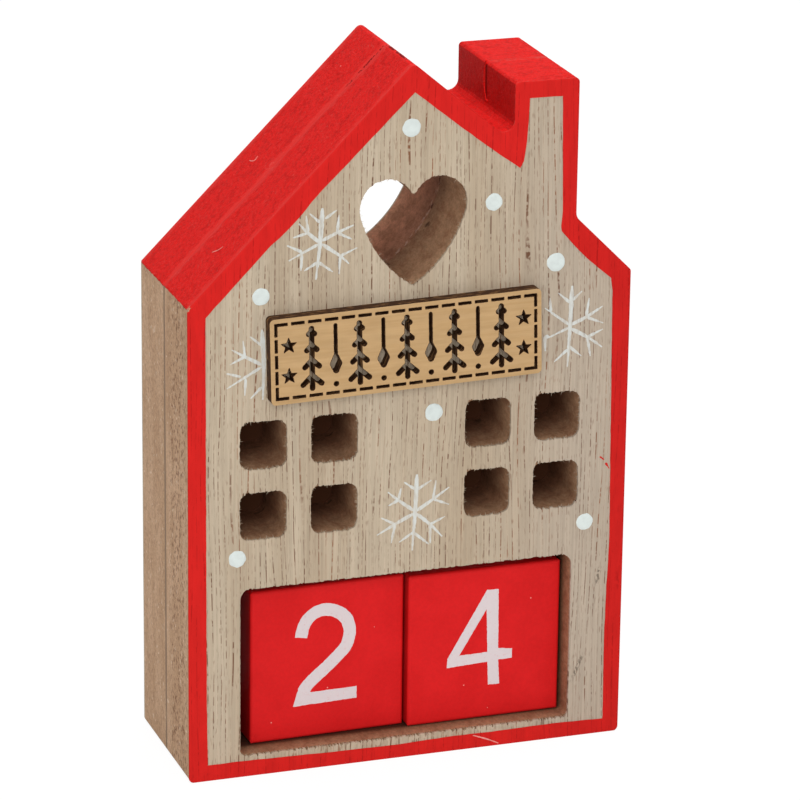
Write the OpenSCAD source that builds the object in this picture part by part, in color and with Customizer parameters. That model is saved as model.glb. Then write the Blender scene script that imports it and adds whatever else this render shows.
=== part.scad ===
// Wooden advent calendar: a house sawn from two veneered boards glued face to face, with a
// heart hole, eight blind windows, a laser-cut plaque, and two number blocks that stand side
// by side in a bay cut right through the house. Millimetres. The front faces -Y, +Z is up,
// and the origin lies on the base, in the middle of the width, where the two boards meet.

/* [House outline] */
// Width of the house from side wall to side wall
house_w = 100; // [94:0.5:120]
// Height of the side walls, from the base to the eaves
wall_h = 108.3; // [104:0.1:125]
// Slope of the roof on the left and right of the chimney, in degrees
roof_pitch = 45; // [42:0.5:50]
// Slope of the roof between the ridge and the chimney, in degrees
inner_pitch = 40.2; // [37:0.1:42]
// How far the ridge lies left of the middle
ridge_shift = 0.3; // [0:0.1:3]
// Left side of the chimney, from the middle of the house
chimney_x = 22.65; // [16:0.05:26]
// Width of the chimney
chimney_w = 14.35; // [10:0.05:18]
// Height of the chimney's top above its foot on the inner slope
chimney_h = 13.6; // [9:0.1:20]
// Radius of the two inside corners where the chimney meets the roof
chimney_fillet_r = 2.5; // [0.5:0.1:3.5]
// Radius of the chimney's two top corners
chimney_top_r = 0.8; // [0.2:0.1:3]
// Radius that the ridge is rounded to
ridge_r = 1.2; // [0.3:0.1:4]
// Radius that the eaves are rounded to
eaves_r = 0.8; // [0.2:0.1:3]
// Radius of the two bottom corners
foot_r = 1.1; // [0.2:0.1:3]

/* [Boards] */
// Thickness of each board's fibre core
core_t = 17.05; // [12:0.05:22]
// Thickness of the wood veneer on both faces of each board
veneer_t = 0.6; // [0.4:0.05:1.2]

/* [Number blocks] */
// Side of each number block
block_size = 35.7; // [30:0.1:40]
// Radius that the blocks' edges are sanded to
block_edge_r = 0.7; // [0.2:0.1:2]
// Distance of the left block's face behind the front of the house
left_setback = 5.75; // [4.5:0.05:10]
// Distance of the right block's face behind the front of the house
right_setback = 4.55; // [4.5:0.05:10]
// How far the left block stands turned, in degrees
left_turn = 1.6; // [0:0.1:2]
// How far the right block stands turned, in degrees
right_turn = 0.4; // [0:0.1:1]
// Play between the two blocks
block_gap = 0.2; // [0.15:0.05:1]
// Play between the right block and the bay's right wall
wall_gap = 0.6; // [0.3:0.05:1]
// Paint's thickness that lifts the blocks off the bay's floor
seat_gap = 0.05; // [0.02:0.01:0.3]

/* [Number bay] */
// Height of the bay's floor above the base
bay_sill = 5; // [3:0.1:8]
// Spare width of the bay beside the two blocks
bay_spare = 4.7; // [2.5:0.1:8]
// Spare height of the bay above the blocks
bay_headroom = 3; // [1:0.1:8]
// Distance of the bay's middle to the left of the middle of the house
bay_shift = 0.3; // [0:0.1:2]
// Radius of the bay's two top corners
bay_top_r = 2.3; // [0.5:0.1:5]

/* [Windows] */
// Width of a window
window_w = 10.6; // [8:0.1:12]
// Height of a window
window_h = 10.8; // [8:0.1:12]
// Radius of a window's corners
window_corner_r = 2.3; // [0.5:0.1:3.5]
// Distance between the windows of a pair, side by side
window_pitch = 16; // [14:0.1:18]
// Distance between the two rows of windows
window_row_pitch = 16.05; // [14:0.05:18]
// Distance between the middles of the left and right groups of windows
window_spread = 51; // [46:0.5:54]
// Distance of all windows to the right of the middle
window_shift = 0.2; // [0:0.1:1]
// Height of the lower row's middle above the top of the bay
window_rise = 16.65; // [12:0.05:18]

/* [Heart hole] */
// Height above the eaves at which the heart's sides would meet in a sharp tip
heart_rise = 0.85; // [0:0.05:4]
// Radius of the heart's two lobes
lobe_r = 6.2; // [6:0.1:7]
// Distance of each lobe's centre from the middle
lobe_offset = 5.9; // [4.5:0.1:5.9]
// Height of the lobes' centres above the sharp tip
lobe_rise = 17.8; // [15:0.1:20]
// Radius of the heart's sides
heart_side_r = 28; // [20:0.5:40]
// Radius that the notch between the lobes is rounded to
heart_notch_r = 0.6; // [0.2:0.1:2]
// Radius that the tip is rounded to
heart_tip_r = 1.5; // [0.3:0.1:3]

/* [Plaque] */
// Width of the plaque
plaque_w = 61.2; // [58:0.2:70]
// Height of the plaque
plaque_h = 19.2; // [18:0.1:21]
// Thickness of the plaque
plaque_t = 3; // [2:0.1:4]
// Radius of the plaque's corners
plaque_corner_r = 1; // [0.3:0.1:2.5]
// How far the plaque is glued on askew, in degrees
plaque_tilt = 1.5; // [0:0.1:3]
// Distance of the plaque's middle to the left of the middle
plaque_shift = 2.1; // [0:0.1:4]
// Distance of the plaque's middle below the eaves
plaque_drop = 11.7; // [11:0.1:13]

/* [Plaque cuts] */
// Distance of the stitch line from the plaque's edge
stitch_inset = 1.05; // [0.8:0.05:1.2]
// Length of a stitch
stitch_l = 2.85; // [1.5:0.05:3]
// Width of a stitch
stitch_w = 0.55; // [0.3:0.05:0.7]
// Distance from the start of one stitch to the next, before it is fitted to the side
stitch_pitch = 3.8; // [3.6:0.1:5]
// Radius of the small stars' points
star_r = 1.8; // [1.2:0.1:2]
// Distance between the middles of the two stars at each end
star_pitch = 6.8; // [4.5:0.1:8]
// Distance of the stars' middles from the plaque's ends
star_inset = 4.1; // [3.9:0.1:4.5]
// Width of the cuts that draw the row of firs and baubles
cut_w = 1.05; // [0.7:0.05:1.2]
// Height of the row of firs and baubles
motif_h = 14.4; // [12:0.1:15]
// Distance from the stars' middles to the middle of the first fir
star_gap = 5.1; // [4.8:0.1:5.4]
// Number of firs and baubles together
motif_count = 9; // [3:2:9]
// Slope of the firs' boughs below the level, in degrees
bough_slope = 42; // [30:1:45]
// Reach of the firs' lowest boughs from the trunk's middle
bough_reach = 2.6; // [1.8:0.1:2.7]
// Width of a bauble's belly
bauble_w = 2.7; // [1.8:0.1:3]
// Width of the thread that a bauble hangs on
thread_w = 0.7; // [0.4:0.05:1]

/* [Quality] */
// Short runs that a rounded corner is drawn with
arc_steps = 8; // [4:1:16]
// Short runs that each of the heart's lobes and sides is drawn with
heart_steps = 24; // [12:1:40]

/* [Hidden] */
$fn = 32;
board_t = core_t + 2 * veneer_t;
front_y = -board_t;
ridge_z = wall_h + (house_w / 2 - ridge_shift) * tan(roof_pitch);
inner_foot_z = ridge_z - (chimney_x + ridge_shift) * tan(inner_pitch);
chimney_right_x = chimney_x + chimney_w;
outer_foot_z = wall_h + (house_w / 2 - chimney_right_x) * tan(roof_pitch);
chimney_z = inner_foot_z + chimney_h;
bay_w = 2 * block_size + block_gap + bay_spare;
bay_h = block_size + bay_headroom;
bay_right_x = bay_w / 2 - bay_shift;
// Radius of the bay's two bottom corners, as large as the right block's edge clears
bay_foot_r = wall_gap + block_edge_r;
window_z = bay_sill + bay_h + window_rise;
plaque_z = wall_h - plaque_drop;
heart_tip_z = wall_h + heart_rise;
right_block_x = bay_right_x - wall_gap - turned_reach(right_turn);
left_block_x = right_block_x - turned_reach(right_turn) - block_gap - turned_reach(left_turn);
motif_pitch = (plaque_w - 2 * (star_inset + star_gap)) / (motif_count - 1);
// Shares of a fir's height, from its middle up, where its four pairs of boughs leave the trunk
bough_height_shares = [0.42, 0.2, -0.03, -0.27];
// Shares of the lowest boughs' reach that the four pairs have
bough_reach_shares = [0.45, 0.63, 0.82, 1];
// Shares of the row's height, from its middle up, for the top and the foot of a bauble's belly
belly_top_share = 0.08;
belly_foot_share = -0.33;
// Share of the row's height, from its middle up, for the bead below a bauble
bead_share = -0.44;
// Share of a bauble's width that the corners of its belly are rounded to
bauble_round_share = 0.22;
// Share of a star's outer radius that its inner corners have
star_waist_share = 0.42;

// Half the width that a block takes when it stands turned in the bay
function turned_reach(turn) = block_size / 2 * (cos(turn) + sin(turn));

function unit(v) = v / norm(v);

function heading(v) = atan2(v.y, v.x);

// Points along an arc after its first one
function arc_points(centre, r, from, to, steps) =
    [for (k = [1:steps])
        let (angle = from + (to - from) * k / steps)
        centre + r * [cos(angle), sin(angle)]];

// Points of the arc of radius r that rounds the corner b between its neighbours a and c
function corner_arc(a, b, c, r) =
    let (u = unit(a - b),
         v = unit(c - b),
         half = acos(u * v) / 2,
         centre = b + unit(u + v) * r / sin(half),
         from = b + u * r / tan(half) - centre,
         to = b + v * r / tan(half) - centre,
         sweep = (heading(to) - heading(from) + 540) % 360 - 180)
    concat([centre + from],
           arc_points(centre, r, heading(from), heading(from) + sweep, arc_steps));

// Closed outline through the corners, each one rounded to its own radius
function rounded_outline(corners, radii) =
    let (n = len(corners))
    [for (i = [0:n - 1])
        for (p = corner_arc(corners[(i + n - 1) % n], corners[i], corners[(i + 1) % n], radii[i]))
            p];

// Rectangle around the origin with rounded corners
module rounded_rect(w, h, r) {
    square([w - 2 * r, h], center = true);
    square([w, h - 2 * r], center = true);
    for (side = [-1, 1], end = [-1, 1])
        translate([side * (w / 2 - r), end * (h / 2 - r)]) circle(r);
}

// Front view of the house, standing on the level base
module house_outline() {
    corners = [
        [-house_w / 2, 0],
        [house_w / 2, 0],
        [house_w / 2, wall_h],
        [chimney_right_x, outer_foot_z],
        [chimney_right_x, chimney_z],
        [chimney_x, chimney_z],
        [chimney_x, inner_foot_z],
        [-ridge_shift, ridge_z],
        [-house_w / 2, wall_h]
    ];
    polygon(rounded_outline(corners, [foot_r, foot_r, eaves_r, chimney_fillet_r, chimney_top_r,
                                      chimney_top_r, chimney_fillet_r, ridge_r, eaves_r]));
}

// Right half of the heart, from the notch round the lobe and down the side to the tip
function heart_half() =
    let (to_tip = [-lobe_offset, -lobe_rise],
         spare_r = heart_side_r - lobe_r,
         along = (pow(lobe_r, 2) - 2 * heart_side_r * lobe_r + to_tip * to_tip) / (2 * spare_r),
         inward = heading(to_tip) + 360 - acos(along / norm(to_tip)),
         join = inward - 180,
         lobe = [lobe_offset, lobe_rise],
         side = lobe + spare_r * [cos(inward), sin(inward)],
         notch = [0, lobe_rise + sqrt(pow(lobe_r + heart_notch_r, 2) - pow(lobe_offset, 2))],
         tip = [0, side.y - sqrt(pow(heart_side_r - heart_tip_r, 2) - pow(side.x, 2))])
    concat(
        [notch - [0, heart_notch_r]],
        arc_points(notch, heart_notch_r, -90, heading(lobe - notch), arc_steps),
        arc_points(lobe, lobe_r, heading(notch - lobe), join, heart_steps),
        arc_points(side, heart_side_r, join, heading(tip - side), heart_steps),
        arc_points(tip, heart_tip_r, heading(tip - side), -90, arc_steps));

module heart() {
    half = heart_half();
    last = len(half) - 1;
    translate([0, heart_tip_z])
        polygon(concat(half, [for (k = [1:last - 1]) [-half[last - k].x, half[last - k].y]]));
}

module bay() {
    corners = [
        [-bay_w / 2, 0],
        [bay_w / 2, 0],
        [bay_w / 2, bay_h],
        [-bay_w / 2, bay_h]
    ];
    translate([-bay_shift, bay_sill])
        polygon(rounded_outline(corners, [bay_foot_r, bay_foot_r, bay_top_r, bay_top_r]));
}

// Two rows of two windows on each side of the house
module windows() {
    for (side = [-1, 1], column = [-1, 1], row = [0, 1])
        translate([window_shift + side * window_spread / 2 + column * window_pitch / 2,
                   window_z + row * window_row_pitch])
            rounded_rect(window_w, window_h, window_corner_r);
}

// Stands a flat drawing upright, from y to y + t
module slab(y, t) {
    translate([0, y + t, 0]) rotate([90, 0, 0]) linear_extrude(t) children();
}

// Layer of the front board: it has the windows as well as the heart and the bay
module front_layer(y, t) {
    slab(y, t) difference() {
        house_outline();
        heart();
        bay();
        windows();
    }
}

// Layer of the back board: it closes the windows from behind
module back_layer(y, t) {
    slab(y, t) difference() {
        house_outline();
        heart();
        bay();
    }
}

module front_face_veneer() { color("tan") front_layer(front_y, veneer_t); }

module front_board_core() { color("rosybrown") front_layer(front_y + veneer_t, core_t); }

module front_inner_veneer() { color("tan") front_layer(-veneer_t, veneer_t); }

module back_inner_veneer() { color("tan") back_layer(0, veneer_t); }

module back_board_core() { color("rosybrown") back_layer(veneer_t, core_t); }

module back_face_veneer() { color("tan") back_layer(board_t - veneer_t, veneer_t); }

// Straight cut from one point to another, where it ends round
module round_cut(from, to, w) {
    run = to - from;
    turn = heading(run);
    across = [-sin(turn), cos(turn)] * w / 2;
    polygon(concat([from + across, from - across, to - across],
                   arc_points(to, w / 2, turn - 90, turn + 90, arc_steps)));
}

// Fir drawn as a trunk with hanging boughs
module fir() {
    for (end = [-1, 1]) round_cut([0, 0], [0, end * (motif_h - cut_w) / 2], cut_w);
    for (side = [-1, 1], tier = [0:len(bough_height_shares) - 1]) {
        reach = bough_reach * bough_reach_shares[tier] - cut_w / 2;
        root_z = motif_h * bough_height_shares[tier];
        round_cut([0, root_z], [side * reach, root_z - reach * tan(bough_slope)], cut_w);
    }
}

// Bauble drawn as a thread, a long belly and a bead below it
module bauble() {
    top_z = motif_h * belly_top_share;
    foot_z = motif_h * belly_foot_share;
    round_cut([0, (top_z + foot_z) / 2], [0, (motif_h - thread_w) / 2], thread_w);
    translate([0, (top_z + foot_z) / 2]) {
        half_w = bauble_w / 2;
        half_h = (top_z - foot_z) / 2;
        r = bauble_w * bauble_round_share;
        polygon(rounded_outline([[0, -half_h], [half_w, 0], [0, half_h], [-half_w, 0]],
                                [r, r, r, r]));
    }
    translate([0, motif_h * bead_share]) circle(d = cut_w);
}

module star() {
    polygon([for (k = [0:9])
        let (r = k % 2 == 0 ? star_r : star_r * star_waist_share)
        r * [sin(36 * k), cos(36 * k)]]);
}

// Row of stitches along +X, centred on the origin and spread evenly over the run
module stitch_row(run) {
    steps = round((run - stitch_l) / stitch_pitch);
    for (k = [0:steps])
        translate([(run - stitch_l) * (k / steps - 1 / 2), 0])
            square([stitch_l, stitch_w], center = true);
}

// Dashed line all round the plaque, whose rows meet at the corners
module stitches() {
    run_x = plaque_w - 2 * stitch_inset;
    run_z = plaque_h - 2 * stitch_inset;
    for (side = [-1, 1]) {
        translate([0, side * (run_z - stitch_w) / 2]) stitch_row(run_x);
        translate([side * (run_x - stitch_w) / 2, 0]) rotate(90) stitch_row(run_z);
    }
}

// Everything that is cut through the plaque
module plaque_cuts() {
    stitches();
    for (side = [-1, 1], row = [-1, 1])
        translate([side * (plaque_w / 2 - star_inset), row * star_pitch / 2]) star();
    for (k = [0:motif_count - 1])
        translate([(k - (motif_count - 1) / 2) * motif_pitch, 0])
            if (k % 2 == 0) fir();
            else bauble();
}

module plaque() {
    color("burlywood") translate([-plaque_shift, front_y - plaque_t, plaque_z])
        rotate([0, -plaque_tilt, 0]) slab(0, plaque_t) difference() {
            rounded_rect(plaque_w, plaque_h, plaque_corner_r);
            plaque_cuts();
        }
}

// Prism with a rounded square section, as long as the block is wide
module block_prism() {
    linear_extrude(block_size, center = true) rounded_rect(block_size, block_size, block_edge_r);
}

// Cube with every edge rounded
module number_block(x, setback, turn) {
    color("crimson")
        translate([x, front_y + setback + block_size / 2, bay_sill + seat_gap + block_size / 2])
            rotate([0, 0, turn]) intersection() {
                block_prism();
                rotate([90, 0, 0]) block_prism();
                rotate([0, 90, 0]) block_prism();
            }
}

module number_block_left() { number_block(left_block_x, left_setback, left_turn); }

module number_block_right() { number_block(right_block_x, right_setback, right_turn); }

back_face_veneer();
back_board_core();
back_inner_veneer();
front_inner_veneer();
front_board_core();
front_face_veneer();
plaque();
number_block_left();
number_block_right();
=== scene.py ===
import math
import random

import bmesh
import bpy
from mathutils import Matrix, Vector, noise
from mathutils.geometry import delaunay_2d_cdt


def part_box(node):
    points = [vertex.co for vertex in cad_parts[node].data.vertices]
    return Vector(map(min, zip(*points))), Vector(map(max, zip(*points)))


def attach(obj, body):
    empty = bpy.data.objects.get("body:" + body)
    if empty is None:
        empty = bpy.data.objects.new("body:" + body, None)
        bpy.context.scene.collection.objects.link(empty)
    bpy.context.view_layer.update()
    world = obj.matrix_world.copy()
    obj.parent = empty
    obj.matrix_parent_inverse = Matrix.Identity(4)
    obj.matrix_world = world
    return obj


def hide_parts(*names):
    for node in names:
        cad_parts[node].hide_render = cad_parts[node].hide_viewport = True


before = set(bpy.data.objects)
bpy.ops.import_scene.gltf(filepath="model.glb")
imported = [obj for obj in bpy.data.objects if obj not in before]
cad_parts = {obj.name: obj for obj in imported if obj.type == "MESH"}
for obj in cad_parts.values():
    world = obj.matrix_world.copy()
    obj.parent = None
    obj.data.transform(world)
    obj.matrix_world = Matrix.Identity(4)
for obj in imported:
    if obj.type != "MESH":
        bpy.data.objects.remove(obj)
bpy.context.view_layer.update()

mm = 0.001
mergeGap = 0.0005 * mm      # points nearer than this are one
scene = bpy.context.scene


# Camera: long lens, standing to the left and a little above the house
camera = {
    "place": (-0.30083, -0.88448, 0.39728),
    "right": (0.94675, -0.32175, 0.01164),
    "up": (0.09380, 0.31022, 0.94603),
    "lens": 202.4,     # mm on a 36 mm sensor
}
lens = bpy.data.cameras.new("camera")
lens.lens = camera["lens"]
lens.sensor_width = 36
lens.clip_end = 20
cameraObject = bpy.data.objects.new("camera", lens)
scene.collection.objects.link(cameraObject)
right = Vector(camera["right"]).normalized()
up = Vector(camera["up"])
up = (up - up.dot(right) * right).normalized()
turn = Matrix((right, up, right.cross(up))).transposed()
cameraObject.matrix_world = Matrix.Translation(camera["place"]) @ turn.to_4x4()
scene.camera = cameraObject
print("camera placed")


# Node and colour helpers
def linearColour(hexText):
    channels = [int(hexText[i:i + 2], 16) / 255 for i in (1, 3, 5)]
    return [c / 12.92 if c <= 0.04045 else ((c + 0.055) / 1.055) ** 2.4 for c in channels] + [1]


def addNode(tree, kind, inputs=None, **settings):
    node = tree.nodes.new(kind)
    for name, value in settings.items():
        setattr(node, name, value)
    for key, value in (inputs or {}).items():
        if isinstance(value, bpy.types.NodeSocket):
            tree.links.new(value, node.inputs[key])
        else:
            node.inputs[key].default_value = value
    return node


# Material of a finish, whose colour and bump node come from a function of the node tree
def makeMaterial(name, finish, surface):
    material = bpy.data.materials.new(name)
    material.use_nodes = True
    tree = material.node_tree
    tree.nodes.clear()
    colour, bump = surface(tree)
    shader = addNode(tree, "ShaderNodeBsdfPrincipled", {
        "Base Color": colour, "Roughness": finish["roughness"],
        "Specular IOR Level": finish["gloss"]})
    if bump:
        tree.links.new(bump.outputs[0], shader.inputs["Normal"])
    addNode(tree, "ShaderNodeOutputMaterial", {"Surface": shader.outputs[0]})
    return material


def coordinates(tree):
    place = addNode(tree, "ShaderNodeTexCoord").outputs["Object"]
    return addNode(tree, "ShaderNodeSeparateXYZ", {"Vector": place}).outputs


# Share that rises from 0 to 1, or between the ends of out, as a value passes two levels
def rise(tree, value, levels, out=(0, 1)):
    return addNode(tree, "ShaderNodeMapRange", {
        "Value": value, "From Min": levels[0], "From Max": levels[1],
        "To Min": out[0], "To Max": out[1]}, interpolation_type="SMOOTHSTEP").outputs[0]


# The same for a noise whose cells are so many millimetres along X, Y and Z; 0 means no change
def grain(tree, sizes, levels, out=(0, 1), detail=2.0, roughness=0.5, place=None):
    if place is None:
        place = addNode(tree, "ShaderNodeTexCoord").outputs["Object"]
    scale = [1 / (size * mm) if size else 0 for size in sizes]
    stretched = addNode(tree, "ShaderNodeMapping", {"Vector": place, "Scale": scale})
    cells = addNode(tree, "ShaderNodeTexNoise", {
        "Vector": stretched.outputs[0], "Scale": 1.0, "Detail": detail, "Roughness": roughness})
    return rise(tree, cells.outputs["Fac"], levels, out)


# Share that is full within so many millimetres of a value's middle and fades to nothing further out
def band(tree, value, middle, inner, outer):
    moved = addNode(tree, "ShaderNodeMath", {0: value, 1: middle * mm}, operation="SUBTRACT")
    apart = addNode(tree, "ShaderNodeMath", {0: moved.outputs[0]}, operation="ABSOLUTE")
    return rise(tree, apart.outputs[0], (inner * mm, outer * mm), (1, 0))


def product(tree, *factors):
    total = factors[0]
    for factor in factors[1:]:
        total = addNode(tree, "ShaderNodeMath", {0: total, 1: factor},
                        operation="MULTIPLY").outputs[0]
    return total


# A colour laid over another where all the masks are full
def layOver(tree, under, colour, *masks):
    under, colour = [linearColour(c) if isinstance(c, str) else c for c in (under, colour)]
    return addNode(tree, "ShaderNodeMix", {
        "Factor": product(tree, *masks), "A": under, "B": colour},
        data_type="RGBA").outputs["Result"]


def shaded(tree, colour, *factors):
    return addNode(tree, "ShaderNodeVectorMath", {
        0: colour, "Scale": product(tree, *factors)}, operation="SCALE").outputs[0]


# Which way the surface faces, as shares along X, Y and Z
def facing(tree):
    normal = addNode(tree, "ShaderNodeNewGeometry").outputs["Normal"]
    return addNode(tree, "ShaderNodeSeparateXYZ", {"Vector": normal}).outputs


# Full where the surface runs front to back, such as the wall of a cut or an edge
def steepMask(tree):
    along = addNode(tree, "ShaderNodeMath", {0: facing(tree)["Y"]}, operation="ABSOLUTE")
    return rise(tree, along.outputs[0], (0.45, 0.6), (1, 0))


# Veneer: an open-pored hardwood sliced thin and limed, so pale wood with rows of dark pores
veneer = {
    "pale": "#BCAC96",
    "tan": "#B09E87",
    "cool": "#AFA090",          # the right side took more lime
    "pore": "#6A4A37",
    "rust": "#8A5A3C",
    "smudge": "#6B6053",
    "rowSpacing": 1.3,          # mm from one row of pores to the next, on average
    "rowWander": 0.8,           # mm that a row may wander, so that the spacing varies
    "poreWidth": 0.17,          # mm
    "poreLength": 1.3,          # mm
    "poreDepth": 0.06,          # mm
    "rowLength": 13,            # mm that a row of pores runs on before it fades
    # Narrow strip below the bay, split by many short cracks: its height and its run along X, each
    # as a middle in mm and how far from it the cracks are full and fade out
    "lip": (4.2, 0.8, 1.3),
    "lipRun": (0, 36, 38),
    "roughness": 0.65,
    "gloss": 0.15,
    # Grey smudges, as x, z, half width and half height in mm, and how far they lean
    "smudges": [(44.4, 37.8, 0.45, 2.2, 0.17), (39.9, 16.4, 0.45, 3.2, 0.4)],
}


def veneerPores(tree):
    place = addNode(tree, "ShaderNodeTexCoord").outputs["Object"]
    wander = grain(tree, (30, 0, 60), (0.25, 0.75), (-0.7 * mm, 0.7 * mm), detail=1)
    shift = addNode(tree, "ShaderNodeCombineXYZ", {"X": wander})
    bent = addNode(tree, "ShaderNodeVectorMath", {0: place, 1: shift.outputs[0]}).outputs[0]
    row = veneer["rowSpacing"]
    long = veneer["poreLength"]
    drift = veneer["rowWander"] * mm
    spot = addNode(tree, "ShaderNodeSeparateXYZ", {"Vector": bent}).outputs[0]
    uneven = grain(tree, (3.6, 0, 90), (0.2, 0.8), (-drift, drift), detail=1)
    across = addNode(tree, "ShaderNodeMath", {0: spot, 1: uneven})
    apart = addNode(tree, "ShaderNodeMath", {
        0: across.outputs[0], 1: 0.5 * row * mm}, operation="PINGPONG")
    half = 0.5 * veneer["poreWidth"] * mm
    rows = rise(tree, apart.outputs[0], (0.4 * half, 1.6 * half), (1, 0))
    dashes = grain(tree, (0.9 * row, 0, long), (0.4, 0.54), (0.15, 1), detail=1, place=bent)
    strength = grain(tree, (1.1 * row, 0, veneer["rowLength"]), (0.42, 0.58), (0.18, 1),
                     detail=2, place=bent)
    coarse = product(tree, rows, dashes, strength)
    fine = grain(tree, (0.34, 0, 2 * long), (0.6, 0.74), (0, 0.4), detail=1, place=bent)
    return addNode(tree, "ShaderNodeMath", {0: coarse, 1: fine}, operation="MAXIMUM").outputs[0]


def veneerColours(tree):
    x, y, z = coordinates(tree)
    wood = layOver(tree, veneer["pale"], veneer["tan"],
                   grain(tree, (8, 0, 170), (0.36, 0.66), detail=3, roughness=0.6))
    wood = layOver(tree, wood, veneer["cool"], rise(tree, x, (12 * mm, 42 * mm), (0, 0.8)))
    wood = shaded(tree, wood,
                  grain(tree, (0.45, 0, 22), (0.3, 0.7), (0.91, 1.07), detail=3, roughness=0.6),
                  grain(tree, (1.5, 0, 15), (0.32, 0.68), (0.96, 1.03)))
    cracks = product(tree, band(tree, z, *veneer["lip"]), band(tree, x, *veneer["lipRun"]),
                     grain(tree, (0.7, 0, 5), (0.58, 0.66), (0, 0.65), detail=1))
    pores = addNode(tree, "ShaderNodeMath", {0: veneerPores(tree), 1: cracks},
                    operation="MAXIMUM").outputs[0]
    tone = layOver(tree, veneer["pore"], veneer["rust"],
                   grain(tree, (7, 0, 60), (0.46, 0.66)))
    wood = layOver(tree, wood, tone, pores)
    for midX, midZ, wide, high, lean in veneer["smudges"]:
        leaning = addNode(tree, "ShaderNodeMath", {
            0: z, 1: -lean, 2: x}, operation="MULTIPLY_ADD").outputs[0]
        wood = layOver(tree, wood, veneer["smudge"],
                       band(tree, leaning, midX - lean * midZ, 0.3 * wide, 1.6 * wide),
                       band(tree, z, midZ, 0.5 * high, 1.2 * high),
                       grain(tree, (0.5, 0, 0.9), (0.42, 0.56), (0, 0.9)))
    return wood, pores


def veneerSurface(tree):
    colour, pores = veneerColours(tree)
    return colour, addNode(tree, "ShaderNodeBump", {
        "Height": pores, "Strength": 0.6, "Distance": veneer["poreDepth"] * mm}, invert=True)


# Fibreboard: pressed wood fibre. The outside is sanded pale with short dark pits, and the
# milled openings are a darker, warmer brown. Glue squeezed out where the two boards meet.
fibreboard = {
    "sanded": "#CDAA8C",
    "sandedTan": "#BE9A7B",
    "pit": "#775038",
    "fleck": "#E2CBB2",
    "milledFront": "#B28C6C",
    "milledBack": "#C99174",
    "milledDeep": "#94694E",
    "ledge": "#4E3626",         # glue-stained front of the core, where the veneer is chipped
    "windowShade": "#643B27",    # painted shade, darker deeper into the windows
    # painted shade at the far end of the windows
    "windowEndShade": "#4E2E1D",
    "heartMidShade": "#573829",      # painted shade on the heart's wall, darkest halfway through near the seam
    "bayShade": "#623B25",       # painted shade on the bay's walls, darker further in
    "bayFloorShadow": "#3A180F",      # painted shadow on its floor at the foot of the blocks, tinted red as the light they throw on it
    # Zones are the middle in mm, and how far from it they are full and fade out
    "windowZone": (68.4, 16.5, 18.5),
    "heartZone": (122, 18, 20),
    "bayZone": (24, 21, 23),
    "bayFloorZone": (5, 0.3, 1.2),
    "pitZone": (-10, 3.5, 9.5),
    "seam": "#8E7662",          # glued inner veneers, end on
    "glue": "#BF9F8C",
    "crack": "#4A3020",
    "outerFace": 49.3,          # mm from the middle, beyond which it is the outside
    "roughDepth": 0.25,         # mm
    "roughness": 0.85,
    "gloss": 0.1,
}


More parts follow.
